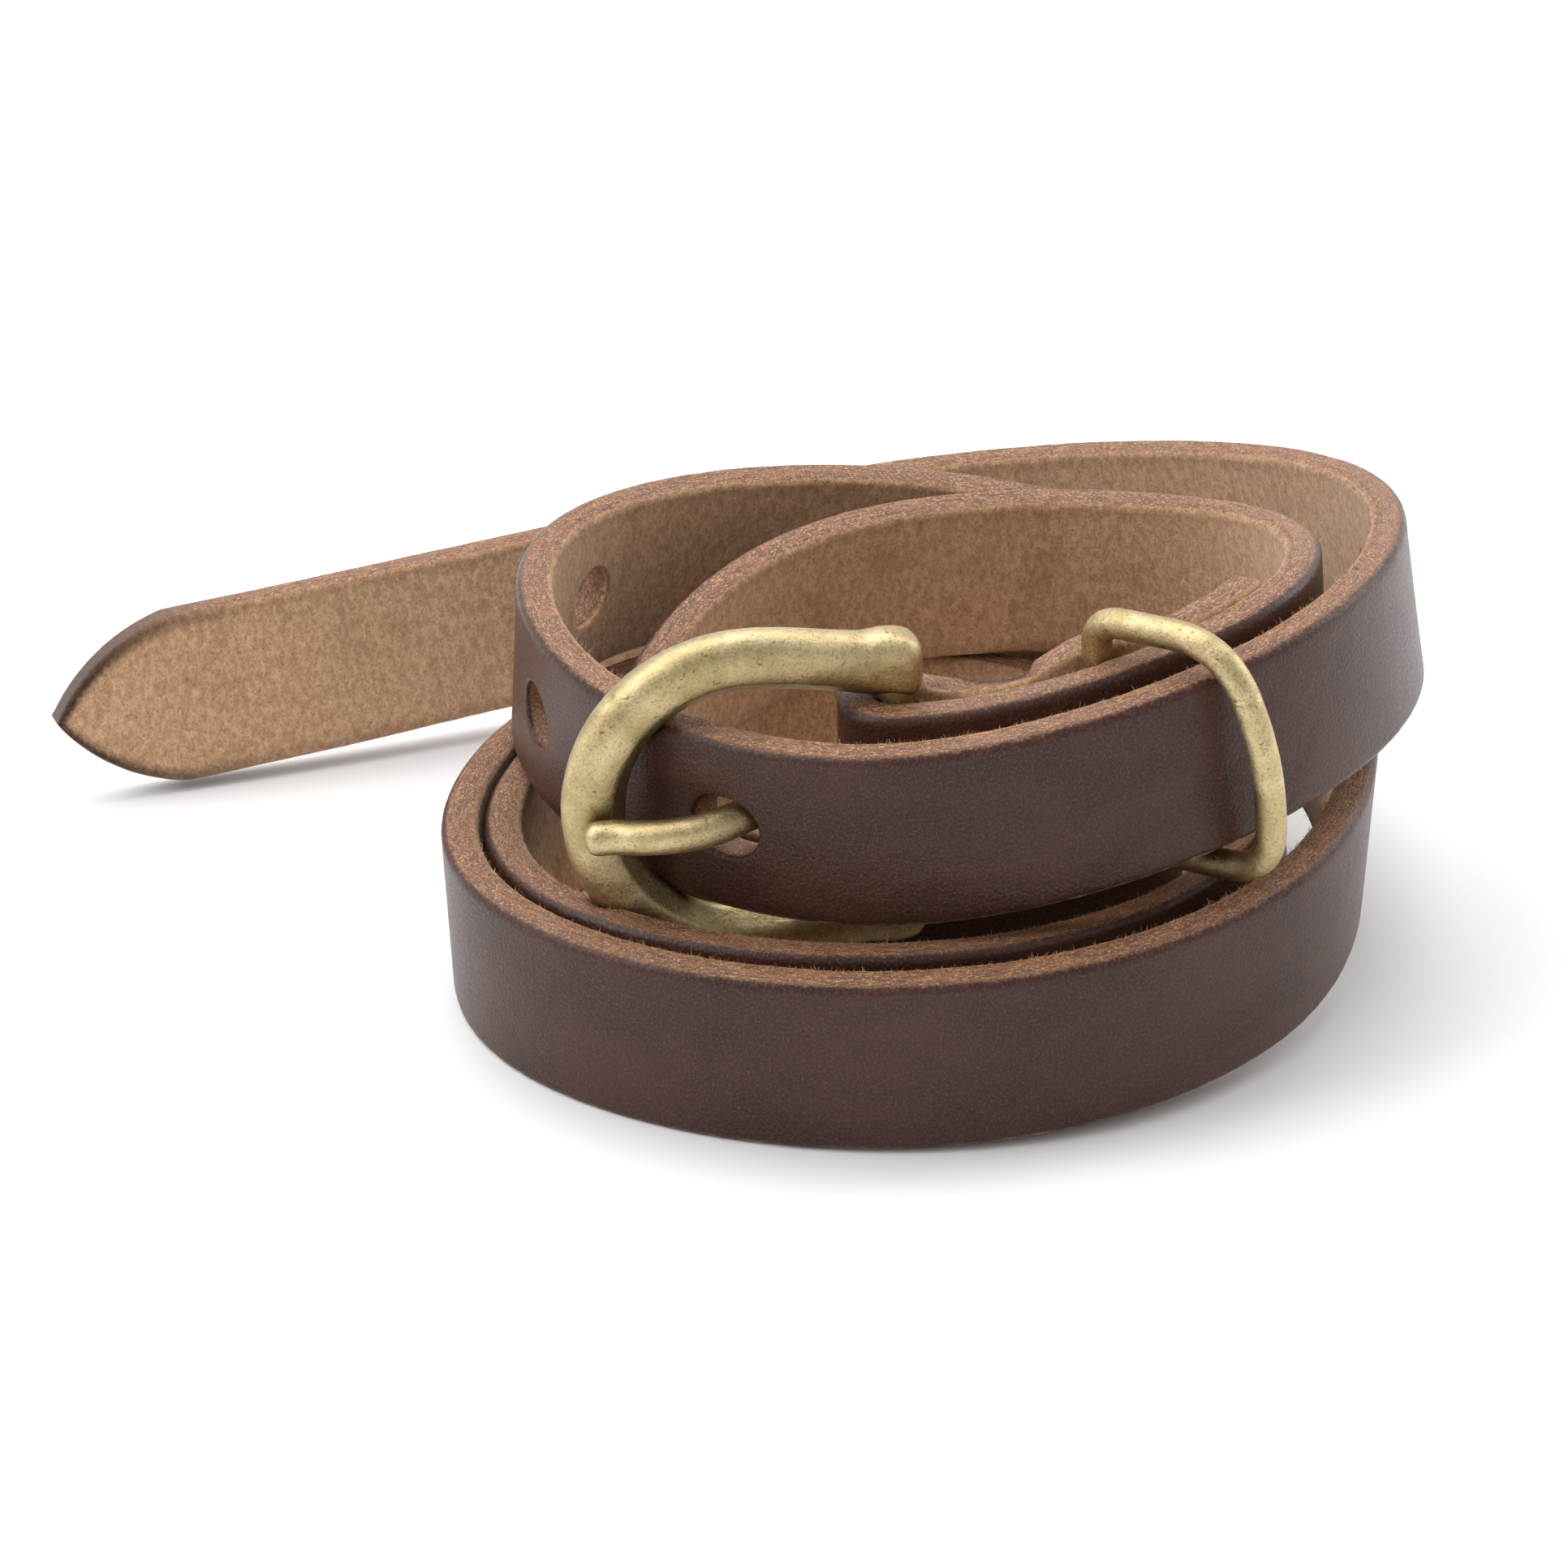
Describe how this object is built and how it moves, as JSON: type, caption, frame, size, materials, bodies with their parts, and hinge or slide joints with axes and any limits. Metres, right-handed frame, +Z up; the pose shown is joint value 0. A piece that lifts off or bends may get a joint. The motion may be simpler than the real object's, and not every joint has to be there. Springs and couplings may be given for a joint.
{
  "type": "leather belt",
  "caption": "Coiled dark-brown leather dress belt, buckled through a solid brass horseshoe buckle, with a brass keeper loop and a pointed tail",
  "frame": {"origin": "on the table plane under the middle of the whole belt", "axes": "+Z up, +Y away from the buckle side, +X to the right seen from the buckle side"},
  "size_m": [0.1458, 0.1109, 0.0499],
  "materials": {
    "bridle_leather": "satin grain face, tan suede flesh face, burnished edges",
    "buckle_brass": "antique satin",
    "bar_brass": "satin",
    "tongue_brass": "antique satin",
    "keeper_brass": "antique satin",
    "screw_brass": "polished dome"
  },
  "bodies": {
    "belt": {"strap": "bridle_leather", "screw_post_front": "screw_brass", "screw_post_rear": "screw_brass", "binding_screw_front": "screw_brass", "binding_screw_rear": "screw_brass"},
    "buckle": {"buckle_frame": "buckle_brass", "heel_bar": "bar_brass"},
    "tongue": {"buckle_tongue": "tongue_brass"},
    "keeper": {"keeper_loop": "keeper_brass"}
  },
  "joints": [
    {"name": "buckle_swing", "type": "hinge", "parent": "belt", "child": "buckle", "pos_m": [0.01727, -0.03151, 0.02934], "axis": [-0.0285, -0.0056, 0.9996], "range_deg": [0, 1.5]},
    {"name": "tongue_swing", "type": "hinge", "parent": "buckle", "child": "tongue", "pos_m": [0.01727, -0.03151, 0.02934], "axis": [-0.0285, -0.0056, 0.9996], "range_deg": [0, 2.5]},
    {"name": "keeper_swing", "type": "hinge", "parent": "belt", "child": "keeper", "pos_m": [0.03861, -0.02999, 0.03366], "axis": [-0.1728, -0.0177, 0.9848], "range_deg": [-30, 8]}
  ]
}
